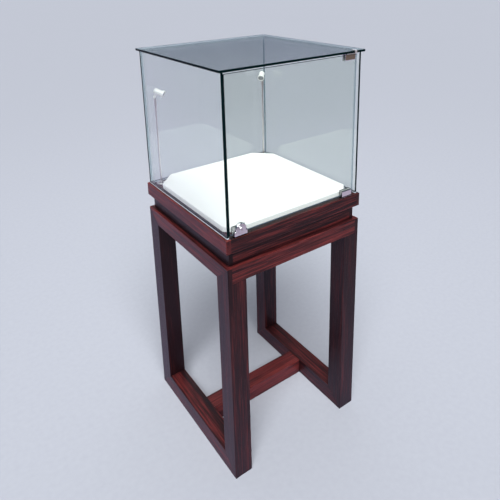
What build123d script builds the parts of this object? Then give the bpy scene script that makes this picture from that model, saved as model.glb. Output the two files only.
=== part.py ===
from build123d import *
from math import cos, radians, sin
import os

# A glass display case with a hinged, locking door and two small lamps, on an open wooden stand.
# Millimetres. +Z is up, the door faces -Y, and the origin is on the floor at the centre of the footprint.

# ---- Stand ----
frame_side = 448.0           # lower frame, measured over the legs
leg_side = 54.0
floor_rail_height = 53.0
stretcher_height = 50.0
apron_height = 44.0
frame_top = 654.0
waist_side = 424.0           # recessed waist between the frame and the cap
waist_thickness = 12.0
cap_side = 450.0             # projecting cap under the glass
cap_bottom = 695.0
cap_top = 733.0
facing = 13.0                # boards round the cap, and the end strips beside the lapped aprons
lap_depth = 12.0             # lap of the front and rear aprons over the legs
deck_thickness = 18.0
panel_side = 362.0           # service panel that closes the waist from inside
panel_thickness = 9.0
panel_corner = 4.0
cleat_length = 120.0
cleat_thickness = 15.0
timber_round = 1.0
cap_round = 1.5
joint_arris = 0.4            # eased edge at each mitre, which leaves a fine V between two timbers
dowel_radius = 4.0
dowel_length = 36.0
dowel_hole_spare = 0.5       # each hole is deeper than its half of the dowel by this
dowel_pitch = 26.0
waist_dowel_spacing = 260.0

# ---- Screws: one countersunk size throughout ----
screw_radius = 1.5
screw_head_radius = 3.0
screw_length = 16.0
screw_spacing = 200.0        # service panel screws, along each side
screw_recess = 0.8
screw_cross = (3.2, 0.8)     # cross recess, length and width
sink_angle = 90

# ---- Glass ----
glass = 6.0                  # thickness of every panel
case_side = 437.0            # glass box, outside
wall_height = 402.0
bedding_height = 3.0         # clear strip between the cap and the glass walls
bedding_width = 5.6
bond = 0.3                   # clear adhesive between panels
top_side = 453.0
glass_arris = 0.5
top_corner_round = 2.0

# ---- Door and hinges ----
door_gap_lock_side = 2.0
door_gap_hinge_side = 10.0
pivot_x = 191.0
pin_radius = 2.0
running_clearance = 0.05
hinge_left = 159.0
hinge_right = 195.5
plate_thickness = 2.0        # bottom hinge plate
bracket_thickness = 1.5      # top hinge bracket
hinge_corner = 1.5           # corner radius of the plate and the bracket on plan
plate_screw_offsets = (8.0, 26.0)    # from the left end of the bottom plate
plate_screw_setback = 2.0    # behind the door's front face
lower_swing_gap = 0.5
upper_swing_gap = 0.3
clamp_web = 3.0
clamp_front = 3.0
clamp_rear = 2.6
clamp_height = 17.5
clamp_round = 2.2
clamp_grub_drop = 2.0        # set screws, nearer the web than the middle of the clamp
liner = 0.5                  # liner between each clamp and the glass
pin_hole_depth = 2.6
pin_engagement = 2.4
bracket_clip_x = 189.5
bracket_clip_width = 8.0
bracket_clip_reach = 14.0
bracket_round = 1.2
grub_radius = 2.0            # set screws that press each clamp onto the glass
grub_spacing = 24.0
grub_key = 1.2
grub_depth = 1.2

# ---- Lock ----
lock_x = -181.0
lock_width = 38.0
lock_foot_height = 13.0
lock_corner = 2.0
lock_boss_radius = 15.5
lock_axis_z = 752.0
lock_front = 6.2             # thickness in front of the glass
lock_round = 2.6
lock_ring_radius = 10.5      # raised ring round the cylinder
lock_ring_height = 1.0
lock_rear_height = 22.0
lock_grub_drop = 5.0         # set screws, below the top of the rear plate
lock_working_gap = 0.1
cylinder_radius = 6.5
cylinder_proud = 2.0
cylinder_edge = 0.8
keyway = (1.4, 6.4)
keyway_eye = 1.3
keyway_depth = 2.2
cam_radius = 3.5
cam_pin_radius = 1.2
bolt_width = 14.0
bolt_thickness = 2.4
bolt_length = 24.0
bolt_travel = 7.0
bolt_setback = 2.0           # bolt's middle plane, in front of the liner
bolt_corner = 1.0
bolt_slot_spare = (1.0, 0.8) # of the slot in the strike plate and cap, over the bolt's section
bolt_window = (10.0, 4.1)
strike_size = (40.0, 10.4)
strike_thickness = 1.0
strike_screw_setback = 1.0   # behind the door's front face
strike_screw_spacing = 31.0

# ---- Pad ----
pad_side = 417.0
pad_rear_chamfer = 54.0
pad_front_chamfer = 28.0
pad_board_height = 12.0
pad_cover_side = 4.0
pad_cover_top = 4.5

# ---- Lamps ----
lamp_offset = 193.0          # each pole, from the centre planes
lamp_tilt = 22.0             # heads point down by this angle at rest
flange_radius = 14.0
flange_thickness = 3.0
flange_round = 1.2
boss_radius = 5.0
boss_height = 8.0
boss_round = 0.8
stem_radius = 4.0
stem_length = 27.0
nut_radius = 6.8             # across the corners, halved
nut_thickness = 5.0
nut_clearance = 0.1
pole_radius = 2.5
pole_bore = 1.5
pole_socket = 17.0           # pole length held below the cap's top
collar_bottom = 977.0
collar_top = 998.0
collar_radius = 3.7
collar_round = 0.6
spigot_radius = 2.2
spigot_length = 14.0
tilt_axis_z = 1003.0
knuckle_radius = 3.6
knuckle_width = 4.0
knuckle_neck = 1.9
knuckle_shoulder = 3.2
knuckle_shoulder_height = 1.2
fork_width = 7.6
fork_stem = 5.0
fork_gap = 0.6               # round the knuckle's eye
tilt_pin_radius = 1.2
barrel_rise = 17.5           # from the tilt axis to the barrel's axis
barrel_radius = 9.0
barrel_rear = -7.0           # along the barrel's axis, from above the tilt axis
barrel_front = 23.0
barrel_wall = 1.7
barrel_edge = 1.5
barrel_shoulder = 15.5       # the barrel steps down here
neck_end = 19.0              # and enters the bezel up to here
neck_radius = 8.0
cavity_rear = -4.0
bezel_rear = 17.0
bezel_radius = 11.0
bezel_edge = 0.8
bezel_lip_radius = 8.8
lens_radius = 9.4
lens_rear = 19.2
lens_front = 21.5
lens_dome = 0.8
led_front = 4.0              # front of the light unit's base, and its narrow end and rim
led_well_radius = 3.0
reflector_rim = (17.5, 18.5)
reflector_wall = 1.0

# ---- Power ----
driver_size = (110.0, 42.0, 24.0)
driver_y = 70.0
driver_corner = 4.0
driver_edge = 2.0
lead_radius = 1.4
lamp_lead_bend = 8.0
supply_lead_bend = 12.0
lead_entry = 5.0             # a lamp lead starts this far inside the hollow stem
lead_straight = 30.0         # run of a lamp lead beside the driver
supply_lead_setback = 60.0   # of the supply lead's cross run, in front of the lamps
lamp_lead_z = 680.0
supply_lead_z = 670.0
inlet_x = 120.0
inlet_radius = 5.0
inlet_flange_radius = 8.0
inlet_flange_thickness = 1.5
inlet_edge = 0.5
inlet_socket_radius = 3.2
inlet_socket_depth = 9.0
inlet_pin_radius = 1.0

# ---- Worked out from the sizes above ----
frame_half = frame_side / 2
leg_centre = frame_half - leg_side / 2
leg_inner = frame_half - leg_side
apron_bottom = frame_top - apron_height
lap_centre = frame_half - lap_depth / 2
waist_centre = waist_side / 2 - waist_thickness / 2
waist_inner = waist_side / 2 - waist_thickness
deck_bottom = cap_top - deck_thickness
cap_centre = cap_side / 2 - facing / 2
panel_top = frame_top + panel_thickness
panel_screw_line = panel_side / 2 - 5.0
case_half = case_side / 2
wall_centre = case_half - glass / 2
wall_inner = case_half - glass
wall_bottom = cap_top + bedding_height
wall_top = wall_bottom + wall_height
top_bottom = wall_top + bond
door_y = -wall_centre
door_front = -case_half
door_rear = -wall_inner
door_left = -wall_inner + door_gap_lock_side
door_right = wall_inner - door_gap_hinge_side
lower_web_bottom = cap_top + plate_thickness + lower_swing_gap
upper_web_top = top_bottom - bracket_thickness - upper_swing_gap
door_bottom = lower_web_bottom + clamp_web + liner
door_top = upper_web_top - clamp_web - liner
clamp_front_face = door_front - liner - clamp_front
clamp_rear_face = door_rear + liner + clamp_rear
hinge_centre = (hinge_left + hinge_right) / 2
hinge_length = hinge_right - hinge_left
lock_bottom = lower_web_bottom
lock_front_face = door_front - liner - lock_front
bolt_y = door_front - liner - bolt_setback
bolt_bottom = lock_bottom + lock_working_gap
cylinder_rear = bolt_y - bolt_thickness / 2 - 3 * lock_working_gap

os.makedirs("parts", exist_ok=True)


def save(piece, name):
    """Label a finished piece and write it to its own STEP file."""
    piece.part.label = name
    export_step(piece.part, f"parts/{name}.step")


def mitre_dowel_planes():
    """Planes across the eight mitres of the side frames, one for each dowel."""
    planes = []
    for side in (-1, 1):
        for end in (-1, 1):
            for offset in (-dowel_pitch / 2, dowel_pitch / 2):
                x = side * leg_centre + offset
                upper = (x, end * leg_centre, frame_top - apron_height / 2)
                lower = (x, end * leg_centre, floor_rail_height / 2)
                falling = (0, -end * apron_height, leg_side)
                rising = (0, end * floor_rail_height, leg_side)
                planes.append(Plane(origin=upper, x_dir=(1, 0, 0), z_dir=falling))
                planes.append(Plane(origin=lower, x_dir=(1, 0, 0), z_dir=rising))
    return planes


def stretcher_dowel_planes():
    """Planes at the two ends of the stretcher, one for each dowel."""
    planes = []
    for side in (-1, 1):
        for offset in (-dowel_pitch / 2, dowel_pitch / 2):
            origin = (side * leg_inner, offset, stretcher_height / 2)
            planes.append(Plane(origin=origin, x_dir=(0, 1, 0), z_dir=(1, 0, 0)))
    return planes


def waist_dowel_planes():
    """Planes on top of the lower frame, under the waist boards, one for each dowel."""
    planes = []
    for side in (-1, 1):
        for offset in (-waist_dowel_spacing / 2, waist_dowel_spacing / 2):
            planes.append(Plane(origin=(side * waist_centre, offset, frame_top)))
            planes.append(Plane(origin=(offset, side * waist_centre, frame_top)))
    return planes


def panel_screw_points(axis_index, side):
    """Where the service panel's screws enter one apron: 0 for a side apron, 1 for the front or rear one."""
    points = []
    for offset in (-screw_spacing / 2, screw_spacing / 2):
        across = side * panel_screw_line
        points.append((across, offset, frame_top) if axis_index == 0 else (offset, across, frame_top))
    return points


mitre_dowels = mitre_dowel_planes()
stretcher_dowels = stretcher_dowel_planes()
waist_dowels = waist_dowel_planes()


def cut_dowel_holes(planes):
    """Drill the piece being built on both sides of each plane, a little deeper than the dowels."""
    with BuildSketch(*planes) as holes:
        Circle(dowel_radius)
    extrude(holes.sketch, amount=dowel_length / 2 + dowel_hole_spare, both=True, mode=Mode.SUBTRACT)


def cut_lap_notches():
    """Clear the outer faces of the head of the frame for the lapped front and rear aprons."""
    with BuildSketch(Plane.XY.offset(apron_bottom)) as notches:
        with Locations((0, -lap_centre), (0, lap_centre)):
            Rectangle(frame_side - 2 * facing, lap_depth)
    extrude(notches.sketch, amount=apron_height, mode=Mode.SUBTRACT)


# ---- Side frames: mitred legs, floor rails and side aprons ----
def side_timber(outline, side, long_axis, dowels, lapped=False, screws=()):
    """A timber of the left (-1) or right (1) side frame, from its outline in Y and Z."""
    with BuildPart() as timber:
        with BuildSketch(Plane.YZ.offset(side * leg_centre)):
            with BuildLine():
                Polyline(*outline, close=True)
            make_face()
        extrude(amount=leg_side / 2, both=True)
        for end in (0, -1):
            chamfer(timber.faces().sort_by(long_axis)[end].edges(), joint_arris)
        fillet(timber.edges().filter_by(long_axis).sort_by(SortBy.LENGTH)[-4:], timber_round)
        cut_dowel_holes(dowels)
        if lapped:
            cut_lap_notches()
        if screws:
            with Locations(*screws):
                Hole(screw_radius, depth=screw_length - panel_thickness)
    return timber


def leg_outline(end):
    """Leg outline with a mitre at both ends, for the front (-1) or rear (1) leg."""
    return [
        (end * frame_half, 0),
        (end * frame_half, frame_top),
        (end * leg_inner, apron_bottom),
        (end * leg_inner, floor_rail_height),
    ]


floor_rail_outline = [
    (-frame_half, 0),
    (frame_half, 0),
    (leg_inner, floor_rail_height),
    (-leg_inner, floor_rail_height),
]
side_apron_outline = [
    (-frame_half, frame_top),
    (frame_half, frame_top),
    (leg_inner, apron_bottom),
    (-leg_inner, apron_bottom),
]

for side, side_name in ((-1, "left"), (1, "right")):
    for end, end_name in ((-1, "front"), (1, "rear")):
        leg = side_timber(leg_outline(end), side, Axis.Z, mitre_dowels, lapped=True)
        save(leg, f"leg_{end_name}_{side_name}")

    floor_rail = side_timber(floor_rail_outline, side, Axis.Y, mitre_dowels + stretcher_dowels)
    save(floor_rail, f"floor_rail_{side_name}")

    side_apron = side_timber(
        side_apron_outline, side, Axis.Y, mitre_dowels + waist_dowels,
        lapped=True, screws=panel_screw_points(0, side),
    )
    save(side_apron, f"apron_{side_name}")


# ---- Stretcher between the floor rails ----
with BuildPart() as stretcher:
    with BuildSketch():
        Rectangle(2 * leg_inner, leg_side)
    extrude(amount=stretcher_height)
    fillet(stretcher.edges().filter_by(Axis.X), timber_round)
    cut_dowel_holes(stretcher_dowels)
save(stretcher, "stretcher")


# ---- Front and rear aprons, lapped over the legs ----
for end, end_name in ((-1, "front"), (1, "rear")):
    with BuildPart() as cross_apron:
        with BuildSketch(Plane.XY.offset(apron_bottom)):
            with Locations((0, end * leg_centre)):
                Rectangle(2 * leg_inner, leg_side)
            with Locations((0, end * lap_centre)):
                Rectangle(frame_side - 2 * facing, lap_depth)
        extrude(amount=apron_height)
        outer_face = cross_apron.faces().sort_by(Axis.Y)[0 if end < 0 else -1]
        fillet(outer_face.edges().filter_by(Axis.X), timber_round)
        cut_dowel_holes(waist_dowels)
        with Locations(*panel_screw_points(1, end)):
            Hole(screw_radius, depth=screw_length - panel_thickness)
    save(cross_apron, f"apron_{end_name}")


# ---- Waist boards, their cleats, the service panel and the deck ----
inlet_plane = Plane(origin=(inlet_x, waist_side / 2, supply_lead_z), x_dir=(1, 0, 0), z_dir=(0, 1, 0))


def waist_board(centre, size, inlet=False):
    """A board of the waist, standing on the lower frame and reaching the underside of the deck."""
    with BuildPart() as board:
        with BuildSketch(Plane.XY.offset(frame_top)):
            with Locations(centre):
                Rectangle(*size)
        extrude(amount=deck_bottom - frame_top)
        cut_dowel_holes(waist_dowels)
        if inlet:
            with BuildSketch(inlet_plane):
                Circle(inlet_radius)
            extrude(amount=-waist_thickness, mode=Mode.SUBTRACT)
    return board


save(waist_board((-waist_centre, 0), (waist_thickness, waist_side)), "waist_left")
save(waist_board((waist_centre, 0), (waist_thickness, waist_side)), "waist_right")
save(waist_board((0, -waist_centre), (2 * waist_inner, waist_thickness)), "waist_front")
save(waist_board((0, waist_centre), (2 * waist_inner, waist_thickness), inlet=True), "waist_rear")

with BuildPart() as waist_cleats:
    with BuildSketch(Plane.XY.offset(frame_top)):
        with PolarLocations(waist_inner - cleat_thickness / 2, 4):
            Rectangle(cleat_thickness, cleat_length)
    extrude(amount=deck_bottom - frame_top)
save(waist_cleats, "waist_cleats")

panel_screws = []
for side in (-1, 1):
    for point in panel_screw_points(0, side) + panel_screw_points(1, side):
        panel_screws.append((point[0], point[1], panel_top))

with BuildPart() as service_panel:
    with BuildSketch(Plane.XY.offset(frame_top)):
        RectangleRounded(panel_side, panel_side, panel_corner)
    extrude(amount=panel_thickness)
    with Locations(*panel_screws):
        CounterSinkHole(screw_radius, screw_head_radius, depth=panel_thickness, counter_sink_angle=sink_angle)
save(service_panel, "service_panel")

lamp_points = [(-lamp_offset, lamp_offset), (lamp_offset, lamp_offset)]

with BuildPart() as deck_board:
    with BuildSketch(Plane.XY.offset(deck_bottom)):
        Rectangle(waist_side, waist_side)
        with Locations(*lamp_points):
            Circle(stem_radius, mode=Mode.SUBTRACT)
    extrude(amount=deck_thickness)
save(deck_board, "deck_board")


# ---- Cap boards round the deck ----
strike_screws = []
for side in (-1, 1):
    x = lock_x + side * strike_screw_spacing / 2
    strike_screws.append((x, door_front + strike_screw_setback, cap_top))

plate_screws = []
for along in plate_screw_offsets:
    plate_screws.append((hinge_left + along, door_front + plate_screw_setback, cap_top + plate_thickness))

bolt_slot = (bolt_width + bolt_slot_spare[0], bolt_thickness + bolt_slot_spare[1])
strike_y = -cap_side / 2 + cap_round + strike_size[1] / 2


def cap_board(centre, size, door_side=False):
    """A board of the cap: the part of the rounded slab that stands over one rectangle."""
    with BuildPart() as board:
        with BuildSketch(Plane.XY.offset(cap_bottom)):
            Rectangle(cap_side, cap_side)
        extrude(amount=cap_top - cap_bottom)
        fillet(board.edges(), cap_round)
        with BuildSketch(Plane.XY.offset(cap_bottom)):
            with Locations(centre):
                Rectangle(*size)
        extrude(amount=cap_top - cap_bottom, mode=Mode.INTERSECT)
        if door_side:
            with BuildSketch(Plane.XY.offset(cap_top)):
                with Locations((lock_x, strike_y)):
                    Rectangle(*strike_size)
            extrude(amount=-strike_thickness, mode=Mode.SUBTRACT)
            with BuildSketch(Plane.XY.offset(cap_top)):
                with Locations((lock_x, bolt_y)):
                    Rectangle(*bolt_slot)
            extrude(amount=-bolt_travel, mode=Mode.SUBTRACT)
            with Locations(*strike_screws):
                CounterSinkHole(
                    screw_radius, screw_head_radius, depth=screw_length, counter_sink_angle=sink_angle,
                )
            with Locations(*plate_screws):
                Hole(screw_radius, depth=screw_length)
    return board


side_board = (facing, cap_side)
end_board = (cap_side - 2 * facing, facing)
save(cap_board((-cap_centre, 0), side_board), "cap_left")
save(cap_board((cap_centre, 0), side_board), "cap_right")
save(cap_board((0, cap_centre), end_board), "cap_rear")
save(cap_board((0, -cap_centre), end_board, door_side=True), "cap_front")


# ---- Dowels and screws ----
with BuildPart() as dowels:
    with BuildSketch(*(mitre_dowels + stretcher_dowels + waist_dowels)):
        Circle(dowel_radius)
    extrude(amount=dowel_length / 2, both=True)
save(dowels, "dowels")

screw_outline = [
    (0, 0),
    (screw_head_radius, 0),
    (screw_radius, screw_radius - screw_head_radius),
    (screw_radius, screw_radius - screw_length),
    (0, -screw_length),
]

with BuildPart() as screw:
    with BuildSketch(Plane.XZ):
        with BuildLine():
            Polyline(*screw_outline, close=True)
        make_face()
    revolve(axis=Axis.Z)
    with BuildSketch():
        Rectangle(*screw_cross)
        Rectangle(*reversed(screw_cross))
    extrude(amount=-screw_recess, mode=Mode.SUBTRACT)

with BuildPart() as wood_screws:
    with Locations(*(panel_screws + strike_screws + plate_screws)):
        add(screw.part)
save(wood_screws, "wood_screws")


# ---- Glass walls and top ----
def glass_panel(centre, size, bottom, height, corner=0.0):
    """A glass panel with a small arris on every edge."""
    with BuildPart() as panel:
        with BuildSketch(Plane.XY.offset(bottom)):
            with Locations(centre):
                Rectangle(*size)
        extrude(amount=height)
        if corner:
            fillet(panel.edges().filter_by(Axis.Z), corner)
        chamfer(panel.edges(), glass_arris)
    return panel


side_wall_length = case_half + wall_inner - bond
side_wall_y = -case_half + side_wall_length / 2
side_wall = (glass, side_wall_length)
save(glass_panel((-wall_centre, side_wall_y), side_wall, wall_bottom, wall_height), "glass_left")
save(glass_panel((wall_centre, side_wall_y), side_wall, wall_bottom, wall_height), "glass_right")
save(glass_panel((0, wall_centre), (case_side, glass), wall_bottom, wall_height), "glass_back")
save(glass_panel((0, 0), (top_side, top_side), top_bottom, glass, top_corner_round), "glass_top")

door_centre_x = (door_left + door_right) / 2
door_size = (door_right - door_left, glass)
save(glass_panel((door_centre_x, door_y), door_size, door_bottom, door_top - door_bottom), "glass_door")

seam_width = glass - 2 * glass_arris

with BuildPart() as glass_bond_seams:
    with BuildSketch(Plane.XY.offset(wall_bottom + glass_arris)):
        with Locations((-wall_centre, wall_inner - bond / 2), (wall_centre, wall_inner - bond / 2)):
            Rectangle(seam_width, bond)
    extrude(amount=wall_height - 2 * glass_arris)
    with BuildSketch(Plane.XY.offset(wall_top)):
        with Locations((-wall_centre, side_wall_y), (wall_centre, side_wall_y)):
            Rectangle(seam_width, side_wall_length - 2 * glass_arris)
        with Locations((0, wall_centre)):
            Rectangle(case_side - 2 * glass_arris, seam_width)
    extrude(amount=bond)
save(glass_bond_seams, "glass_bond_seams")

with BuildPart() as glass_bedding:
    with BuildSketch(Plane.XY.offset(cap_top)):
        with Locations((-wall_centre, side_wall_y), (wall_centre, side_wall_y)):
            Rectangle(bedding_width, side_wall_length - 2 * glass_arris)
        with Locations((0, wall_centre)):
            Rectangle(case_side - 2 * glass_arris, bedding_width)
    extrude(amount=bedding_height)
save(glass_bedding, "glass_bedding")


# ---- Door hinges ----
def hinge_clamp(mirrored):
    """A clamp on the door's lower edge, or upper edge when mirrored, with a blind hole for the pivot pin."""
    up = -1 if mirrored else 1
    mouth = upper_web_top if mirrored else lower_web_bottom
    grub_z = mouth + up * (clamp_web + clamp_height / 2 - clamp_grub_drop)
    grub_plane = Plane(origin=(hinge_centre, clamp_rear_face, grub_z), x_dir=(1, 0, 0), z_dir=(0, -1, 0))
    mid_y = (clamp_front_face + clamp_rear_face) / 2
    with BuildPart() as clamp:
        with BuildSketch(Plane.YZ.offset(hinge_centre)):
            with Locations((mid_y, mouth + up * clamp_height / 2)):
                Rectangle(clamp_rear_face - clamp_front_face, clamp_height)
            with Locations((door_y, mouth + up * (clamp_web + clamp_height / 2))):
                Rectangle(glass + 2 * liner, clamp_height, mode=Mode.SUBTRACT)
        extrude(amount=hinge_length / 2, both=True)
        front_face = clamp.faces().sort_by(Axis.Y)[0]
        fillet(front_face.edges(), clamp_round)
        with BuildSketch(Plane(origin=(pivot_x, door_y, mouth), z_dir=(0, 0, up))):
            Circle(pin_radius + running_clearance)
        extrude(amount=pin_hole_depth, mode=Mode.SUBTRACT)
        with BuildSketch(grub_plane):
            with GridLocations(grub_spacing, 1, 2, 1):
                Circle(grub_radius)
        extrude(amount=clamp_rear, mode=Mode.SUBTRACT)
    return clamp


save(hinge_clamp(mirrored=True), "top_hinge_clamp")
save(hinge_clamp(mirrored=False), "bottom_hinge_clamp")

with BuildPart() as top_hinge_bracket:
    bracket_front = -top_side / 2 - bracket_thickness
    bracket_depth = clamp_rear_face - bracket_front
    with BuildSketch(Plane.XY.offset(top_bottom)):
        with Locations((hinge_centre, bracket_front + bracket_depth / 2)):
            RectangleRounded(hinge_length, bracket_depth, hinge_corner)
    extrude(amount=-bracket_thickness)
    with BuildSketch(Plane.YZ.offset(bracket_clip_x)):
        with Locations((bracket_front + bracket_clip_reach / 2, top_bottom + glass / 2)):
            Rectangle(bracket_clip_reach, glass + 2 * bracket_thickness)
        with Locations((bracket_front + bracket_thickness + bracket_clip_reach / 2, top_bottom + glass / 2)):
            Rectangle(bracket_clip_reach, glass, mode=Mode.SUBTRACT)
    extrude(amount=bracket_clip_width / 2, both=True)
    web_edges = top_hinge_bracket.faces().sort_by(Axis.Y)[0].edges().filter_by(Axis.X)
    fillet(web_edges.sort_by(Axis.Z)[-1], bracket_round)
    with Locations((pivot_x, door_y, top_bottom)):
        Hole(pin_radius, depth=bracket_thickness)
save(top_hinge_bracket, "top_hinge_bracket")

with BuildPart() as bottom_hinge_plate:
    with BuildSketch(Plane.XY.offset(cap_top)):
        with Locations((hinge_centre, (clamp_front_face + clamp_rear_face) / 2)):
            RectangleRounded(hinge_length, clamp_rear_face - clamp_front_face, hinge_corner)
    extrude(amount=plate_thickness)
    with Locations((pivot_x, door_y, cap_top + plate_thickness)):
        Hole(pin_radius, depth=plate_thickness)
    with Locations(*plate_screws):
        CounterSinkHole(screw_radius, screw_head_radius, depth=plate_thickness, counter_sink_angle=sink_angle)
save(bottom_hinge_plate, "bottom_hinge_plate")

with BuildPart() as hinge_pins:
    with BuildSketch(Plane.XY.offset(cap_top)):
        with Locations((pivot_x, door_y)):
            Circle(pin_radius)
    extrude(amount=lower_web_bottom + pin_engagement - cap_top)
    with BuildSketch(Plane.XY.offset(top_bottom)):
        with Locations((pivot_x, door_y)):
            Circle(pin_radius)
    extrude(amount=upper_web_top - pin_engagement - top_bottom)
save(hinge_pins, "hinge_pins")


# ---- Liners and set screws of the clamps and of the lock ----
def liner_strip(centre_x, length, web, height, up):
    """Add a U-shaped liner round the glass edge to the piece being built, its web at the given height."""
    with BuildSketch(Plane.YZ.offset(centre_x)) as section:
        with Locations((door_y, web + up * height / 2)):
            Rectangle(glass + 2 * liner, height)
        with Locations((door_y, web + up * (liner + height / 2))):
            Rectangle(glass, height, mode=Mode.SUBTRACT)
    extrude(section.sketch, amount=length / 2, both=True)


liner_height = clamp_height - clamp_web - liner
lock_liner_height = lock_rear_height - clamp_web - liner

with BuildPart() as clamp_liners:
    liner_strip(hinge_centre, hinge_length - 2 * liner, upper_web_top - clamp_web, liner_height, -1)
    liner_strip(hinge_centre, hinge_length - 2 * liner, lower_web_bottom + clamp_web, liner_height, 1)
    liner_strip(lock_x, lock_width - 2 * liner, lock_bottom + clamp_web, lock_liner_height, 1)
save(clamp_liners, "clamp_liners")

lock_grub_z = lock_bottom + lock_rear_height - lock_grub_drop
grub_rows = [
    (hinge_centre, upper_web_top - clamp_web - clamp_height / 2 + clamp_grub_drop),
    (hinge_centre, lower_web_bottom + clamp_web + clamp_height / 2 - clamp_grub_drop),
    (lock_x, lock_grub_z),
]

with BuildPart() as clamp_screws:
    for row_x, row_z in grub_rows:
        with BuildSketch(Plane(origin=(row_x, clamp_rear_face, row_z), x_dir=(1, 0, 0), z_dir=(0, -1, 0))):
            with GridLocations(grub_spacing, 1, 2, 1):
                Circle(grub_radius)
        extrude(amount=clamp_rear)
        with BuildSketch(Plane(origin=(row_x, clamp_rear_face, row_z), x_dir=(1, 0, 0), z_dir=(0, -1, 0))):
            with GridLocations(grub_spacing, 1, 2, 1):
                RegularPolygon(grub_key, 6)
        extrude(amount=grub_depth, mode=Mode.SUBTRACT)
save(clamp_screws, "clamp_screws")


# ---- Lock: body, cylinder with its cam pin, sliding bolt and strike plate ----
lock_plane = Plane(origin=(lock_x, lock_front_face, 0), x_dir=(1, 0, 0), z_dir=(0, 1, 0))
down = -1                    # the lock plane's second axis points down

with BuildPart() as lock_body:
    with BuildSketch(lock_plane):
        with Locations((0, down * (lock_bottom + lock_foot_height / 2))):
            RectangleRounded(lock_width, lock_foot_height, lock_corner)
        with Locations((0, down * lock_axis_z)):
            Circle(lock_boss_radius)
    extrude(amount=lock_front)
    front_edges = lock_body.faces().sort_by(Axis.Y)[0].edges()
    fillet(front_edges, lock_round)
    with BuildSketch(lock_plane.offset(-lock_ring_height)):
        with Locations((0, down * lock_axis_z)):
            Circle(lock_ring_radius)
    extrude(amount=lock_ring_height + lock_round)
    fillet(lock_body.faces().sort_by(Axis.Y)[0].edges(), lock_ring_height * 0.7)
    with BuildSketch(Plane.YZ.offset(lock_x)):
        with Locations((door_y, lock_bottom + clamp_web / 2)):
            Rectangle(glass + 2 * liner, clamp_web)
        with Locations((clamp_rear_face - clamp_rear / 2, lock_bottom + lock_rear_height / 2)):
            Rectangle(clamp_rear, lock_rear_height)
    extrude(amount=lock_width / 2, both=True)
    with BuildSketch(lock_plane.offset(-lock_ring_height)):
        with Locations((0, down * lock_axis_z)):
            Circle(cylinder_radius + running_clearance)
    extrude(amount=cylinder_rear - lock_front_face + lock_ring_height, mode=Mode.SUBTRACT)
    with BuildSketch(Plane.XY.offset(lock_bottom)):
        with Locations((lock_x, bolt_y)):
            Rectangle(bolt_width + 2 * running_clearance, bolt_thickness + 2 * running_clearance)
    extrude(amount=bolt_length + 5 * lock_working_gap, mode=Mode.SUBTRACT)
    with BuildSketch(lock_plane.offset(cylinder_rear - lock_front_face - lock_working_gap)):
        with Locations((0, down * lock_axis_z)):
            Circle(cam_radius + cam_pin_radius + 2 * lock_working_gap)
    extrude(amount=bolt_y + bolt_thickness / 2 - cylinder_rear + 2 * lock_working_gap, mode=Mode.SUBTRACT)
    with BuildSketch(Plane(origin=(lock_x, clamp_rear_face, lock_grub_z), x_dir=(1, 0, 0), z_dir=(0, -1, 0))):
        with GridLocations(grub_spacing, 1, 2, 1):
            Circle(grub_radius)
    extrude(amount=clamp_rear, mode=Mode.SUBTRACT)
save(lock_body, "lock_body")

cylinder_front = lock_front_face - cylinder_proud
cylinder_length = cylinder_rear - cylinder_front
key_plane = Plane(origin=(lock_x, cylinder_front, lock_axis_z), x_dir=(1, 0, 0), z_dir=(0, 1, 0))

with BuildPart() as lock_cylinder:
    with BuildSketch(key_plane):
        Circle(cylinder_radius)
    extrude(amount=cylinder_length)
    chamfer(lock_cylinder.edges().sort_by(Axis.Y)[0], cylinder_edge)
    with BuildSketch(key_plane):
        Rectangle(*keyway)
        Circle(keyway_eye)
    extrude(amount=keyway_depth, mode=Mode.SUBTRACT)
    with BuildSketch(key_plane.offset(cylinder_length)):
        with Locations((0, down * cam_radius)):
            Circle(cam_pin_radius)
    extrude(amount=bolt_y + bolt_thickness / 2 - cylinder_rear)
save(lock_cylinder, "lock_cylinder")

bolt_plane = Plane(origin=(lock_x, bolt_y, bolt_bottom), x_dir=(1, 0, 0), z_dir=(0, -1, 0))

with BuildPart() as lock_bolt:
    with BuildSketch(bolt_plane) as bolt_outline:
        with Locations((0, bolt_length / 2)):
            Rectangle(bolt_width, bolt_length)
        chamfer(bolt_outline.vertices().group_by(Axis.Z)[0], bolt_corner)
        with Locations((0, lock_axis_z + cam_radius - bolt_bottom)):
            SlotOverall(*bolt_window, mode=Mode.SUBTRACT)
    extrude(amount=bolt_thickness / 2, both=True)
save(lock_bolt, "lock_bolt")

with BuildPart() as strike_plate:
    with BuildSketch(Plane.XY.offset(cap_top)):
        with Locations((lock_x, strike_y)):
            Rectangle(*strike_size)
        with Locations((lock_x, bolt_y)):
            Rectangle(*bolt_slot, mode=Mode.SUBTRACT)
    extrude(amount=-strike_thickness)
    with Locations(*strike_screws):
        CounterSinkHole(screw_radius, screw_head_radius, depth=screw_length, counter_sink_angle=sink_angle)
save(strike_plate, "strike_plate")


# ---- Pad: a board with clipped corners, under a soft cover ----
def pad_sketch(inset, height):
    """The pad's outline on plan, set in from the outside, at one height."""
    half = pad_side / 2
    rear = half - pad_rear_chamfer
    front = half - pad_front_chamfer
    with BuildSketch(Plane.XY.offset(height)) as sketch:
        with BuildLine():
            Polyline(
                (-half, -front), (-front, -half), (front, -half), (half, -front),
                (half, rear), (rear, half), (-rear, half), (-half, rear),
                close=True,
            )
        make_face()
        if inset:
            offset(amount=-inset, kind=Kind.INTERSECTION, mode=Mode.REPLACE)
    return sketch.sketch


with BuildPart() as pad_board:
    extrude(pad_sketch(pad_cover_side, cap_top), amount=pad_board_height)
save(pad_board, "pad_board")

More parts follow.
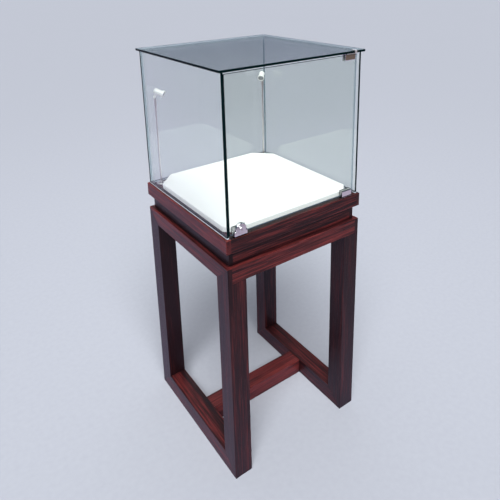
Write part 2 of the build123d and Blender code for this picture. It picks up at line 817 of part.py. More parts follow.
with BuildPart() as pad_cover:
    extrude(pad_sketch(0, cap_top), amount=pad_board_height + pad_cover_top)
    extrude(pad_sketch(pad_cover_side, cap_top), amount=pad_board_height, mode=Mode.SUBTRACT)
save(pad_cover, "pad_cover")


# ---- Lamps in the two rear corners ----
with BuildPart() as lamp_bases:
    with BuildSketch(Plane.XY.offset(cap_top)):
        with Locations(*lamp_points):
            Circle(flange_radius)
    extrude(amount=flange_thickness)
    fillet(lamp_bases.edges().group_by(Axis.Z)[-1], flange_round)
    with BuildSketch(Plane.XY.offset(cap_top + flange_thickness)):
        with Locations(*lamp_points):
            Circle(boss_radius)
    extrude(amount=boss_height)
    fillet(lamp_bases.edges().group_by(Axis.Z)[-1], boss_round)
    with BuildSketch(Plane.XY.offset(cap_top)):
        with Locations(*lamp_points):
            Circle(stem_radius)
    extrude(amount=-stem_length)
    with Locations(*[(x, y, cap_top + flange_thickness + boss_height) for x, y in lamp_points]):
        Hole(pole_radius, depth=flange_thickness + boss_height + pole_socket)
        Hole(pole_bore)
    with BuildSketch(Plane.XY.offset(deck_bottom)):
        with Locations(*lamp_points):
            RegularPolygon(nut_radius, 6)
            Circle(stem_radius + nut_clearance, mode=Mode.SUBTRACT)
    extrude(amount=-nut_thickness)
save(lamp_bases, "lamp_bases")


def lamp(side, side_name):
    """Build the pole, knuckle and head of the left (-1) or right (1) lamp."""
    standing = Plane(origin=(side * lamp_offset, lamp_offset, 0), x_dir=(-side, -1, 0), z_dir=(0, 0, 1))

    with BuildPart() as pole:
        with BuildSketch(standing.offset(cap_top - pole_socket)):
            Circle(pole_radius)
        extrude(amount=collar_bottom - cap_top + pole_socket)
        with BuildSketch(standing.offset(collar_bottom)):
            Circle(collar_radius)
        extrude(amount=collar_top - collar_bottom)
        fillet(pole.edges().group_by(Axis.Z)[-1], collar_round)
        with BuildSketch(standing.offset(cap_top - pole_socket)):
            Circle(pole_bore)
        extrude(amount=collar_top - cap_top + pole_socket, mode=Mode.SUBTRACT)
        with BuildSketch(standing.offset(collar_top)):
            Circle(spigot_radius + running_clearance)
        extrude(amount=-spigot_length, mode=Mode.SUBTRACT)
    save(pole, f"lamp_pole_{side_name}")

    tilt_origin = (side * lamp_offset, lamp_offset, tilt_axis_z)
    across = Plane(origin=tilt_origin, x_dir=standing.x_dir, z_dir=standing.y_dir)

    with BuildPart() as knuckle:
        with BuildSketch(standing.offset(collar_top + running_clearance - spigot_length)):
            Circle(spigot_radius)
        extrude(amount=spigot_length)
        with BuildSketch(standing.offset(collar_top + running_clearance)):
            Circle(knuckle_shoulder)
        extrude(amount=knuckle_shoulder_height)
        with BuildSketch(standing.offset(collar_top + running_clearance)):
            Circle(knuckle_neck)
        extrude(amount=tilt_axis_z - collar_top - 1)
        with BuildSketch(across):
            Circle(knuckle_radius)
        extrude(amount=knuckle_width / 2, both=True)
        with BuildSketch(across):
            Circle(tilt_pin_radius + running_clearance)
        extrude(amount=knuckle_width, both=True, mode=Mode.SUBTRACT)
    save(knuckle, f"lamp_knuckle_{side_name}")

    ahead = standing.x_dir
    upright = standing.z_dir
    forward = ahead * cos(radians(lamp_tilt)) - upright * sin(radians(lamp_tilt))
    rise = ahead * sin(radians(lamp_tilt)) + upright * cos(radians(lamp_tilt))
    barrel_origin = Vector(*tilt_origin) + rise * barrel_rise
    section = Plane(origin=barrel_origin, x_dir=forward, z_dir=forward.cross(rise))
    barrel_axis = Axis(barrel_origin, forward)
    fork_plane = Plane(origin=tilt_origin, x_dir=forward, z_dir=forward.cross(rise))

    def turned(outline):
        """A solid turned round the barrel's axis, from its distance along the axis and its radius."""
        with BuildPart() as piece:
            with BuildSketch(section):
                with BuildLine():
                    Polyline(*outline, close=True)
                make_face()
            revolve(axis=barrel_axis)
        return piece

    cavity = barrel_radius - barrel_wall
    cup = turned([
        (barrel_rear, 0), (barrel_rear, barrel_radius - barrel_edge),
        (barrel_rear + barrel_edge, barrel_radius),
        (barrel_shoulder, barrel_radius), (barrel_shoulder, neck_radius), (neck_end, neck_radius),
        (neck_end, cavity), (cavity_rear, cavity), (cavity_rear, 0),
    ])
    with BuildPart() as head:
        add(cup.part)
        with BuildSketch(fork_plane):
            Circle(knuckle_radius)
            with Locations((0, (barrel_rise - neck_radius) / 2)):
                Rectangle(fork_stem, barrel_rise - neck_radius)
        extrude(amount=fork_width / 2, both=True)
        with BuildSketch(fork_plane):
            Circle(knuckle_radius + fork_gap)
        extrude(amount=knuckle_width / 2 + running_clearance, both=True, mode=Mode.SUBTRACT)
        with BuildSketch(fork_plane):
            Circle(tilt_pin_radius)
        extrude(amount=fork_width / 2, both=True)
    save(head, f"lamp_head_{side_name}")

    bezel = turned([
        (bezel_rear, neck_radius), (bezel_rear, bezel_radius - bezel_edge),
        (bezel_rear + bezel_edge, bezel_radius),
        (barrel_front - bezel_edge, bezel_radius), (barrel_front, bezel_radius - bezel_edge),
        (barrel_front, bezel_lip_radius), (lens_front, bezel_lip_radius), (lens_front, lens_radius),
        (neck_end, lens_radius), (neck_end, neck_radius),
    ])
    save(bezel, f"lamp_bezel_{side_name}")

    lens = turned([
        (lens_rear, 0), (lens_rear, lens_radius), (lens_front, lens_radius), (lens_front, bezel_lip_radius),
        (lens_front + lens_dome / 2, lens_radius * 0.64), (lens_front + lens_dome, 0),
    ])
    save(lens, f"lamp_lens_{side_name}")

    rim_rear, rim_front = reflector_rim
    led = turned([
        (cavity_rear, 0), (cavity_rear, cavity), (led_front, cavity),
        (led_front, led_well_radius + reflector_wall), (rim_rear, cavity), (rim_front, cavity),
        (rim_front, cavity - reflector_wall / 2), (led_front + reflector_wall, led_well_radius),
        (led_front + reflector_wall, 0),
    ])
    save(led, f"lamp_led_{side_name}")


lamp(-1, "left")
lamp(1, "right")


# ---- Lamp driver, its leads and the power inlet ----
with BuildPart() as led_driver:
    with BuildSketch(Plane.XY.offset(panel_top)):
        with Locations((0, driver_y)):
            Rectangle(driver_size[0], driver_size[1])
    extrude(amount=driver_size[2])
    fillet(led_driver.edges().filter_by(Axis.Z), driver_corner)
    fillet(led_driver.edges().group_by(Axis.Z)[-1], driver_edge)
save(led_driver, "led_driver")


def lead(points, bend):
    """A round lead along a path with rounded bends."""
    with BuildPart() as piece:
        with BuildLine() as path:
            FilletPolyline(*points, radius=bend)
        with BuildSketch(Plane(origin=path.line @ 0, z_dir=path.line % 0)):
            Circle(lead_radius)
        sweep(path=path.line)
    return piece.part


lamp_leads = []
for side in (-1, 1):
    lamp_leads.append([
        (side * lamp_offset, lamp_offset, cap_top - stem_length + lead_entry),
        (side * lamp_offset, lamp_offset, lamp_lead_z),
        (side * (driver_size[0] / 2 + lead_straight), driver_y, lamp_lead_z),
        (side * driver_size[0] / 2, driver_y, lamp_lead_z),
    ])
supply_lead = [
    (inlet_x, waist_inner, supply_lead_z),
    (inlet_x, lamp_offset - supply_lead_setback, supply_lead_z),
    (driver_size[0] / 4, lamp_offset - supply_lead_setback, supply_lead_z),
    (driver_size[0] / 4, driver_y + driver_size[1] / 2, supply_lead_z),
]

with BuildPart() as wiring:
    for points in lamp_leads:
        add(lead(points, lamp_lead_bend))
    add(lead(supply_lead, supply_lead_bend))
save(wiring, "wiring")

with BuildPart() as power_inlet:
    with BuildSketch(inlet_plane):
        Circle(inlet_flange_radius)
    extrude(amount=inlet_flange_thickness)
    fillet(power_inlet.edges().sort_by(Axis.Y)[-1], inlet_edge)
    with BuildSketch(inlet_plane):
        Circle(inlet_radius)
    extrude(amount=-waist_thickness)
    with BuildSketch(inlet_plane.offset(inlet_flange_thickness)):
        Circle(inlet_socket_radius)
        Circle(inlet_pin_radius, mode=Mode.SUBTRACT)
    extrude(amount=-inlet_socket_depth, mode=Mode.SUBTRACT)
save(power_inlet, "power_inlet")
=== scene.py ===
import math

import bmesh
import bpy
import numpy as np
from mathutils import Matrix, Vector


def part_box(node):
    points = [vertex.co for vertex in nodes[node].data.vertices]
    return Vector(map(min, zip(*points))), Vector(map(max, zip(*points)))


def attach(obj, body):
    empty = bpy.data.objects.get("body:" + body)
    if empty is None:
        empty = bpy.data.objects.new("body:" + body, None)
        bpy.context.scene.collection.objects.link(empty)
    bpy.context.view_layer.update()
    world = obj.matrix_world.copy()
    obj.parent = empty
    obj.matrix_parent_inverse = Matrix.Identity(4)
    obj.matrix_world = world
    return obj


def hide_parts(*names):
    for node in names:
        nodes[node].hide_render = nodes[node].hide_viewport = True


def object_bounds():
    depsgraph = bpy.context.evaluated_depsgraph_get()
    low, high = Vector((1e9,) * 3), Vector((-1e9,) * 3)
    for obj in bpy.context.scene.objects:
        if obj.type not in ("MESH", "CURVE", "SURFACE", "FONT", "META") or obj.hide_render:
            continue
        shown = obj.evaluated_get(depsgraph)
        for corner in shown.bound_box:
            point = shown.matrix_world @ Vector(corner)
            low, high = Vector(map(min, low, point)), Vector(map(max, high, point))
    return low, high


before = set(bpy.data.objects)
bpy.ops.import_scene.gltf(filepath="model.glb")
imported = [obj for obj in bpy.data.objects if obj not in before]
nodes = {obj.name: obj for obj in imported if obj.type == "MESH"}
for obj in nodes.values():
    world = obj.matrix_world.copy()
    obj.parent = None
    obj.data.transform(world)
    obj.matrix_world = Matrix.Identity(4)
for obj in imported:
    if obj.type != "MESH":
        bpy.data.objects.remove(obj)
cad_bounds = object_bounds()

# A glass display case on a stained wooden stand: its materials, its padded floor, studio light and camera.
# Metres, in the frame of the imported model: +Z up, the door faces -Y, the origin on the floor.

X, Y, Z = 0, 1, 2
AXIS_VECTORS = (Vector((1, 0, 0)), Vector((0, 1, 0)), Vector((0, 0, 1)))
millimetre = 0.001

# ---- Colours, linear ----
WHITE = (1, 1, 1, 1)
WOOD_DARK = (0.0085, 0.0026, 0.0040, 1)
WOOD_RED = (0.165, 0.026, 0.025, 1)
# Pale orange of rubbed wood, also a painted highlight along the upper edges.
WOOD_WEAR_AND_HIGHLIGHT = (0.420, 0.090, 0.052, 1)
# Painted shade for wood corners and recesses.
WOOD_PAINTED_SHADE = (0.0045, 0.0016, 0.0022, 1)
WOOD_PORE = (0.006, 0.002, 0.0025, 1)
BOARD_PALE = (0.50, 0.36, 0.21, 1)
BOARD_DARK = (0.36, 0.23, 0.12, 1)
BEECH_PALE = (0.62, 0.44, 0.26, 1)
BEECH_DARK = (0.50, 0.33, 0.18, 1)
GLASS_TINT = (0.938, 0.960, 0.948, 1)
GLASS_EDGE = (0.0015, 0.008, 0.009, 1)
# Painted light and shade for glass edges seen from inside.
GLASS_EDGE_PAINTED_BRIGHT = (0.80, 0.89, 0.95, 1)
GLASS_EDGE_PAINTED_MIDDLE = (0.42, 0.50, 0.56, 1)
GLASS_EDGE_PAINTED_DIM = (0.10, 0.14, 0.18, 1)
BOND_TINT = (0.80, 0.92, 0.92, 1)
SILICONE_TINT_AND_HIGHLIGHT = (0.72, 0.84, 0.95, 1)
CHROME = (0.80, 0.81, 0.83, 1)
CHROME_PALE = (0.97, 0.97, 0.98, 1)
STEEL = (0.60, 0.60, 0.61, 1)
SILVER = (0.74, 0.73, 0.70, 1)
# Painted shade for metal corners.
METAL_PAINTED_SHADE = (0.035, 0.025, 0.035, 1)
NYLON = (0.45, 0.47, 0.47, 1)
PAINT_WHITE = (0.82, 0.82, 0.81, 1)
REFLECTOR_WHITE = (0.70, 0.70, 0.68, 1)
LENS_DARK = (0.10, 0.11, 0.13, 1)
LENS_PALE = (0.22, 0.23, 0.25, 1)
DRIVER_WHITE = (0.72, 0.72, 0.70, 1)
INLET_BLACK = (0.020, 0.020, 0.022, 1)
LEAD_BLACK = (0.020, 0.020, 0.021, 1)
CLOTH_WHITE = (0.90, 0.90, 0.90, 1)
PAPER_DARK = (0.345, 0.365, 0.415, 1)
PAPER_PALE = (0.385, 0.405, 0.455, 1)
# What polished metal and glass mirror: the floor far in front, near, and beside and behind, then the room.
MIRRORED_FAR = (0.110, 0.082, 0.068, 1)
MIRRORED_NEAR = (0.34, 0.29, 0.36, 1)
MIRRORED_BEHIND = (0.42, 0.38, 0.54, 1)
MIRRORED_ROOM = (0.12, 0.15, 0.21, 1)
MIRRORED_CEILING = (0.10, 0.11, 0.14, 1)
MIRRORED_WINDOW = (1.05, 1.12, 1.25, 1)
ROOM_LIGHT = (0.17, 0.18, 0.215, 1)
BACKDROP = (0.5505, 0.581, 0.665, 1)


# ---- Node materials ----
class Shader:
    """A material's or world's nodes. An input is given a number, a colour or another node's output."""

    def __init__(self, name, kind="Material"):
        owners = bpy.data.materials if kind == "Material" else bpy.data.worlds
        self.kind = kind
        self.owner = owners.new(name)
        self.owner.use_nodes = True
        self.nodes = self.owner.node_tree.nodes
        self.links = self.owner.node_tree.links
        self.nodes.clear()

    def add(self, kind, inputs=None, output=0, **settings):
        node = self.nodes.new("ShaderNode" + kind)
        for key, value in settings.items():
            setattr(node, key, value)
        for key, value in (inputs or {}).items():
            if isinstance(value, bpy.types.NodeSocket):
                self.links.new(value, node.inputs[key])
            else:
                node.inputs[key].default_value = value
        return node.outputs[output]

    def math(self, operation, first, second=0.0, third=0.0):
        return self.add("Math", {0: first, 1: second, 2: third}, operation=operation)

    def product(self, first, *others):
        for other in others:
            first = self.math("MULTIPLY", first, other)
        return first

    def vector(self, operation, first, second):
        return self.add("VectorMath", {0: first, 1: second}, operation=operation)

    def dot(self, first, second):
        return self.add("VectorMath", {0: first, 1: second}, output="Value", operation="DOT_PRODUCT")

    def part(self, value, axis):
        """One of a vector's three numbers."""
        return self.add("SeparateXYZ", {0: value}, output=axis)

    def blend(self, factor, first, second):
        inputs = {0: factor, 6: first, 7: second}
        return self.add("Mix", inputs, output=2, data_type="RGBA")

    def ramp(self, value, low, high):
        """0 below low, 1 above high, and smooth between."""
        inputs = {"Value": value, "From Min": low, "From Max": high}
        return self.add("MapRange", inputs, interpolation_type="SMOOTHSTEP")

    def noise(self, place, scale=1.0, detail=2.0, roughness=0.5, output=0):
        inputs = {"Vector": place, "Scale": scale, "Detail": detail, "Roughness": roughness}
        return self.add("TexNoise", inputs, output=output)

    def bump(self, height, distance, strength):
        return self.add("Bump", {"Height": height, "Distance": distance, "Strength": strength})

    def openness(self, distance, enclosed, open_air):
        """0 in a corner and 1 in the open, by how much stands within a distance of the surface."""
        share = self.add("AmbientOcclusion", {"Distance": distance}, output=1, samples=6)
        return self.ramp(share, enclosed, open_air)

    def finish(self, surface):
        output = self.nodes.new("ShaderNodeOutput" + self.kind)
        self.links.new(surface, output.inputs["Surface"])
        return self.owner


def object_place(shader):
    """The point being shaded, in the frame's metres, which stays with its piece in every pose."""
    return shader.add("TexCoord", output="Object")


def shade(colour, share):
    """A colour at a share of its brightness."""
    return [part * share for part in colour[:3]] + [1]


def along_grain(shader, place, grain, across, along):
    """The place scaled to so many noise cells a metre across the grain and along it."""
    scale = [across] * 3
    scale[grain] = along
    return shader.vector("MULTIPLY", place, scale)


def growth_rings(shader, place, grain, offset, seed):
    """The dark late wood of growth rings, about a pith near the piece that differs from board to board."""
    rings_per_metre = 190.0
    ring_wander = 0.022
    pith_distance = 0.05
    flat = [1.0, 1.0, 1.0]
    flat[grain] = 0.0
    section = shader.vector("MULTIPLY", place, flat)
    section = shader.vector("SUBTRACT", section, [c * f for c, f in zip(offset, flat)])
    pith = [pith_distance * (1 + math.sin(seed * 2.3 + k)) * flat[k] for k in range(3)]
    section = shader.vector("ADD", section, pith)
    radius = shader.add("VectorMath", {0: section}, output="Value", operation="LENGTH")
    wander = shader.noise(along_grain(shader, place, grain, 7, 0.9), detail=2)
    radius = shader.math("MULTIPLY_ADD", wander, ring_wander, radius)
    ring = shader.math("FRACT", shader.math("MULTIPLY", radius, rings_per_metre))
    return shader.ramp(ring, 0.55, 0.95)


def worn_and_highlit_edges(shader, place, grain, wear_and_highlight):
    """Patches of a board's upper edges that are rubbed to the pale wood, and lit as a painted highlight."""
    reach = (2.0 + 3.0 * wear_and_highlight ** 4) * millimetre
    normal = shader.add("NewGeometry", output="Normal")
    softened = shader.add("Bevel", {"Radius": reach}, samples=4)
    edge = shader.ramp(shader.math("SUBTRACT", 1.0, shader.dot(normal, softened)), 0.01, 0.16)
    # Upward-facing edges only: the pale edge is partly a painted highlight for light from above.
    upper_highlit = shader.ramp(shader.part(softened, Z), 0.10, 0.45)
    patchy = shader.ramp(shader.noise(along_grain(shader, place, grain, 30, 6), detail=3), 0.40, 0.62)
    return shader.product(edge, upper_highlit, patchy, wear_and_highlight)


def stained_wood(name, grain, seed, depth, evenness, wear_and_highlight):
    """Dark red-brown stained timber, by its stain's depth and evenness and the wear and painted highlight of
    its upper edges, with painted shade in its corners.
    """
    shader = Shader(name)
    offset = (0.37 * seed + 1.3, 0.23 * seed + 2.1, 0.31 * seed + 0.7)
    place = shader.vector("ADD", object_place(shader), offset)

    fine = shader.noise(along_grain(shader, place, grain, 290, 8.0), detail=4, roughness=0.62)
    broad = shader.noise(along_grain(shader, place, grain, 60, 2.2), detail=3, roughness=0.50)
    streak = shader.math("MULTIPLY_ADD", fine, 0.66, shader.math("MULTIPLY", broad, 0.34))
    warmth = shader.ramp(streak, depth - evenness / 2, depth + evenness / 2)
    colour = shader.blend(warmth, WOOD_DARK, WOOD_RED)
    rings = growth_rings(shader, place, grain, offset, seed)
    colour = shader.blend(shader.math("MULTIPLY", rings, 0.35), colour, WOOD_DARK)
    pore = shader.ramp(shader.noise(along_grain(shader, place, grain, 900, 22), detail=1), 0.60, 0.70)
    colour = shader.blend(shader.math("MULTIPLY", pore, 0.65), colour, WOOD_PORE)
    # Wear and painted highlight: patches of the upper edges turn pale orange.
    colour = shader.blend(worn_and_highlit_edges(shader, place, grain, wear_and_highlight), colour, WOOD_WEAR_AND_HIGHLIGHT)
    # Painted shade: corners and recesses, such as under the cap, turn near black.
    colour = shader.blend(shader.openness(14 * millimetre, 0.25, 0.90), WOOD_PAINTED_SHADE, colour)

    side_normal = shader.add("TexCoord", output="Normal")
    end_share = shader.math("ABSOLUTE", shader.dot(side_normal, AXIS_VECTORS[grain]))
    end_grain = shader.ramp(end_share, 0.85, 0.95)
    colour = shader.blend(shader.math("MULTIPLY", end_grain, 0.5), colour, WOOD_DARK)

    height = shader.math("MULTIPLY_ADD", pore, -0.8, shader.math("MULTIPLY", fine, 0.5))
    return shader.finish(shader.add("BsdfPrincipled", {
        "Base Color": colour,
        "Roughness": shader.math("MULTIPLY_ADD", fine, 0.22, 0.30),
        "Specular IOR Level": 0.18,
        "Coat Weight": 0.05,
        "Coat Roughness": 0.20,
        "Normal": shader.bump(height, 0.35 * millimetre, 0.6),
    }))


def bare_board(name, grain, seed, pale=BOARD_PALE, dark=BOARD_DARK):
    """Unfinished timber or board."""
    shader = Shader(name)
    place = shader.vector("ADD", object_place(shader), (seed, 0.7 * seed, 0.4 * seed))
    fine = shader.noise(along_grain(shader, place, grain, 70.0, 3.0), detail=6, roughness=0.6)
    speck = shader.noise(place, scale=900, detail=2)
    height = shader.math("MULTIPLY_ADD", speck, 0.5, fine)
    return shader.finish(shader.add("BsdfPrincipled", {
        "Base Color": shader.blend(shader.ramp(fine, 0.35, 0.68), dark, pale),
        "Roughness": shader.math("MULTIPLY_ADD", speck, 0.2, 0.62),
        "Normal": shader.bump(height, 0.3 * millimetre, 0.5),
    }))


def mirror_share(shader):
    """The share of light that one face of clear glass reflects, most edge on and alike from both sides."""
    face_on_share = 0.042
    grazing_share = 0.96
    incoming = shader.add("NewGeometry", output="Incoming")
    normal = shader.add("NewGeometry", output="Normal")
    facing = shader.math("ABSOLUTE", shader.dot(incoming, normal))
    grazing = shader.math("POWER", shader.math("SUBTRACT", 1.0, facing), 5.0)
    return shader.math("MULTIPLY_ADD", grazing, grazing_share, face_on_share)


def clear_glass(name, thin, inner_edge_light):
    """Clear float glass, thin along one axis: clear faces, dark polished edges, and painted light on the
    edges seen from inside, dim on the level ones.
    """
    shader = Shader(name)
    side_normal = shader.add("TexCoord", output="Normal")
    mirror = shader.add("BsdfGlossy", {"Color": WHITE, "Roughness": 0.0})
    through = shader.add("BsdfTransparent", {"Color": GLASS_TINT})
    sheet = shader.add("MixShader", {0: mirror_share(shader), 1: through, 2: mirror})

    outside = {"Base Color": GLASS_EDGE, "Roughness": 0.06, "Specular IOR Level": 0.03}
    edge_outside = shader.add("BsdfPrincipled", outside)
    # Painted light: from inside, upright edges are pale and level edges dim, standing for the light seen
    # through them.
    upward = shader.math("ABSOLUTE", shader.dot(side_normal, AXIS_VECTORS[Z]))
    level_edge_shaded = shader.math("GREATER_THAN", upward, 0.5)
    inner_painted_light = shader.blend(level_edge_shaded, inner_edge_light, GLASS_EDGE_PAINTED_DIM)
    edge_painted_glow = shader.add("BsdfTransparent", {"Color": inner_painted_light})
    pale = shader.add("BsdfDiffuse", {"Color": inner_painted_light})
    edge_inside_painted = shader.add("MixShader", {0: 0.35, 1: edge_painted_glow, 2: pale})
    backfacing = shader.add("NewGeometry", output="Backfacing")
    edge = shader.add("MixShader", {0: backfacing, 1: edge_outside, 2: edge_inside_painted})

    thinward = shader.math("ABSOLUTE", shader.dot(side_normal, AXIS_VECTORS[thin]))
    on_face = shader.math("GREATER_THAN", thinward, 0.9)
    return shader.finish(shader.add("MixShader", {0: on_face, 1: edge, 2: sheet}))


def clear_filler(name, tint, cloud):
    """Clear bonding or bedding compound, a little cloudy."""
    shader = Shader(name)
    mottle = shader.noise(object_place(shader), scale=220, detail=3)
    through = shader.add("BsdfTransparent", {"Color": tint})
    body = shader.add("BsdfPrincipled", {
        "Base Color": tint,
        "Roughness": shader.math("MULTIPLY_ADD", mottle, 0.2, 0.10),
        "Normal": shader.bump(mottle, 0.3 * millimetre, 0.5),
    })
    share = shader.math("MULTIPLY_ADD", mottle, 0.25, cloud)
    return shader.finish(shader.add("MixShader", {0: share, 1: through, 2: body}))


def metal(name, colour, roughness, marks, brushed=0.0):
    """Bare or plated metal, with faint rubbing marks, painted shade in its corners, and a brushed lay when
    asked.
    """
    shader = Shader(name)
    place = object_place(shader)
    smear = shader.noise(place, scale=160, detail=4, roughness=0.6)
    lay = shader.noise(shader.vector("MULTIPLY", place, (2600, 2600, 60)), detail=2)
    height = shader.math("MULTIPLY_ADD", lay, brushed, shader.math("MULTIPLY", smear, 0.2))
    bright = shader.blend(smear, colour, shade(colour, 0.86))
    return shader.finish(shader.add("BsdfPrincipled", {
        # Painted shade: the metal turns near black in its corners and where it meets other parts.
        "Base Color": shader.blend(shader.openness(6 * millimetre, 0.50, 0.97), METAL_PAINTED_SHADE, bright),
        "Metallic": 1.0,
        "Roughness": shader.math("MULTIPLY_ADD", smear, marks, roughness),
        "Normal": shader.bump(height, 0.05 * millimetre, 0.25),
    }))


def paint(name, colour, roughness, coat=0.3):
    """Sprayed paint or moulded plastic, with a fine orange-peel surface."""
    shader = Shader(name)
    place = object_place(shader)
    peel = shader.noise(place, scale=1400, detail=1)
    tone = shader.noise(place, scale=35, detail=2)
    return shader.finish(shader.add("BsdfPrincipled", {
        "Base Color": shader.blend(tone, colour, shade(colour, 0.93)),
        "Roughness": shader.math("MULTIPLY_ADD", tone, 0.08, roughness),
        "Coat Weight": coat,
        "Coat Roughness": 0.15,
        "Normal": shader.bump(peel, 0.02 * millimetre, 0.35),
    }))


def woven_cloth(name, colour, cloth_painted_glow):
    """Plain-weave white cloth: two crossed sets of threads, a soft sheen, and a painted glow that lightens
    it, its shaded sides too.
    """
    shader = Shader(name)
    place = object_place(shader)
    thread_pitch = 0.9 * millimetre
    thread_drift = 0.5 * millimetre
    wobble = shader.vector("SUBTRACT", shader.noise(place, scale=320, detail=2, output=1), (0.5, 0.5, 0.5))
    drifted = shader.vector("ADD", place, shader.vector("MULTIPLY", wobble, [thread_drift] * 3))

    def thread(axis):
        turns = shader.math("MULTIPLY", shader.part(drifted, axis), 2 * math.pi / thread_pitch)
        return shader.math("MULTIPLY_ADD", shader.math("SINE", turns), 0.5, 0.5)

    weft = thread(X)
    weave = shader.math("MAXIMUM", shader.product(weft, thread(Y)), shader.product(thread(Z), weft))
    slub = shader.noise(shader.vector("MULTIPLY", place, (40, 900, 900)), detail=2)
    cloudy = shader.noise(place, scale=18, detail=3)
    tone = shader.math("MULTIPLY_ADD", weave, 0.6, shader.math("MULTIPLY", cloudy, 0.4))
    height = shader.math("MULTIPLY_ADD", slub, 0.5, weave)
    return shader.finish(shader.add("BsdfPrincipled", {
        "Base Color": shader.blend(tone, shade(colour, 0.90), colour),
        "Roughness": 0.88,
        # Painted glow: the cloth gives off light of its own colour, which lightens its shaded sides.
        "Emission Color": colour,
        "Emission Strength": cloth_painted_glow,
        "Sheen Weight": 0.25,
        "Sheen Roughness": 0.5,
        "Normal": shader.bump(height, 0.18 * millimetre, 0.5),
    }))


def frosted_lens(name):
    """Dark grey frosted lens."""
    shader = Shader(name)
    frost = shader.noise(object_place(shader), scale=900, detail=2)
    return shader.finish(shader.add("BsdfPrincipled", {
        "Base Color": shader.blend(frost, LENS_DARK, LENS_PALE),
        "Roughness": shader.math("MULTIPLY_ADD", frost, 0.2, 0.12),
        "Coat Weight": 0.8,
        "Coat Roughness": 0.05,
        "Normal": shader.bump(frost, 0.05 * millimetre, 0.4),
    }))


def rubber(name, colour):
    """Matt cable sheath."""
    shader = Shader(name)
    grit = shader.noise(object_place(shader), scale=1100, detail=2)
    return shader.finish(shader.add("BsdfPrincipled", {
        "Base Color": shader.blend(grit, colour, shade(colour, 1.6)),
        "Roughness": 0.62,
        "Normal": shader.bump(grit, 0.05 * millimetre, 0.4),
    }))


def dress(node, material):
    """Give every face of a CAD node one material."""
    slots = nodes[node].material_slots
    if not slots:
        nodes[node].data.materials.append(material)
    for slot in slots:
        slot.link = "OBJECT"
        slot.material = material


# ---- Stained timber, grain along each piece ----
pieces_by_grain = {
    X: ["stretcher", "apron_front", "apron_rear", "waist_front", "waist_rear",
        "cap_front", "cap_rear", "deck_board"],
    Y: ["floor_rail_left", "floor_rail_right", "apron_left", "apron_right", "waist_left", "waist_right",
        "cap_left", "cap_right"],
    Z: ["leg_front_left", "leg_front_right", "leg_rear_left", "leg_rear_right"],
}
timber_stain_and_painted_light = {                  # depth and evenness of the stain, and wear and painted highlight along the upper edges
    "leg": (0.65, 0.46, 0.3),
    # Painted shade: the rear left and front right legs are stained darker, for the shade they stand in.
    "leg_rear_left": (0.74, 0.46, 0.3),
    "leg_front_right": (0.70, 0.46, 0.3),
    "cap": (0.57, 0.30, 0.5),
    # Painted light: the left cap board is stained lighter, for the light from the left, with more painted
    # highlight on its top edge.
    "cap_left": (0.465, 0.34, 0.7),
    "waist": (0.64, 0.34, 0.0),
    # Painted light and shade: the front waist board is stained lighter, the left one darker for the shadow
    # under the cap.
    "waist_front": (0.53, 0.30, 0.0),
    "waist_left": (0.72, 0.30, 0.0),
    "stretcher": (0.48, 0.38, 0.4),
    "floor": (0.58, 0.34, 0.2),
    "other": (0.53, 0.34, 0.1),
}
timber_seed = 0
for grain_axis, piece_names in pieces_by_grain.items():
    for piece_name in piece_names:
        timber_seed += 1
        kind = piece_name if piece_name in timber_stain_and_painted_light else piece_name.split("_")[0]
        stain_and_light = timber_stain_and_painted_light.get(kind, timber_stain_and_painted_light["other"])
        dress(piece_name, stained_wood(f"stained_{piece_name}", grain_axis, timber_seed, *stain_and_light))

for seed, piece_name in enumerate(("service_panel", "waist_cleats", "pad_board")):
    dress(piece_name, bare_board(f"bare_{piece_name}", X, seed))
dress("dowels", bare_board("beech", Z, 5, pale=BEECH_PALE, dark=BEECH_DARK))

# ---- Glass, by the axis along which each panel is thin ----
panels_by_thin_axis = {
    X: ["glass_left", "glass_right"],
    Y: ["glass_back", "glass_door"],
    Z: ["glass_top"],
}
for thin_axis, piece_names in panels_by_thin_axis.items():
    # The top panel's edges get the brightest painted light from inside.
    inner_edge_light = GLASS_EDGE_PAINTED_BRIGHT if thin_axis == Z else GLASS_EDGE_PAINTED_MIDDLE
    panel_glass = clear_glass("float_glass_" + "xyz"[thin_axis], thin_axis, inner_edge_light)
    for piece_name in piece_names:
        dress(piece_name, panel_glass)
dress("glass_bond_seams", clear_filler("clear_bond", BOND_TINT, cloud=0.05))
# Cloudy silicone bedding, its pale blue-white partly a painted highlight along the foot of the walls.
dress("glass_bedding", clear_filler("clear_silicone", SILICONE_TINT_AND_HIGHLIGHT, cloud=0.80))

# ---- Metal fittings ----
chrome = metal("polished_chrome", CHROME, roughness=0.05, marks=0.06)
for piece_name in ("top_hinge_clamp", "bottom_hinge_plate", "bottom_hinge_clamp",
                   "lock_body", "lock_cylinder", "strike_plate"):
    dress(piece_name, chrome)
dress("top_hinge_bracket", metal("pale_chrome", CHROME_PALE, roughness=0.42, marks=0.08))
steel = metal("bright_steel", STEEL, roughness=0.24, marks=0.12, brushed=0.8)
for piece_name in ("wood_screws", "clamp_screws", "hinge_pins", "lock_bolt"):
    dress(piece_name, steel)
dress("clamp_liners", paint("nylon_liner", NYLON, roughness=0.4))

# ---- Lamps ----
satin = metal("satin_silver", SILVER, roughness=0.28, marks=0.10, brushed=0.6)
white_paint = paint("lamp_white_paint", PAINT_WHITE, roughness=0.32)
lens_glass = frosted_lens("lamp_lens_glass")
reflector = paint("lamp_reflector", REFLECTOR_WHITE, roughness=0.25)
dress("lamp_bases", satin)
for side_name in ("left", "right"):
    dress(f"lamp_pole_{side_name}", satin)
    dress(f"lamp_knuckle_{side_name}", satin)
    dress(f"lamp_head_{side_name}", white_paint)
    dress(f"lamp_bezel_{side_name}", white_paint)
    dress(f"lamp_lens_{side_name}", lens_glass)
    dress(f"lamp_led_{side_name}", reflector)

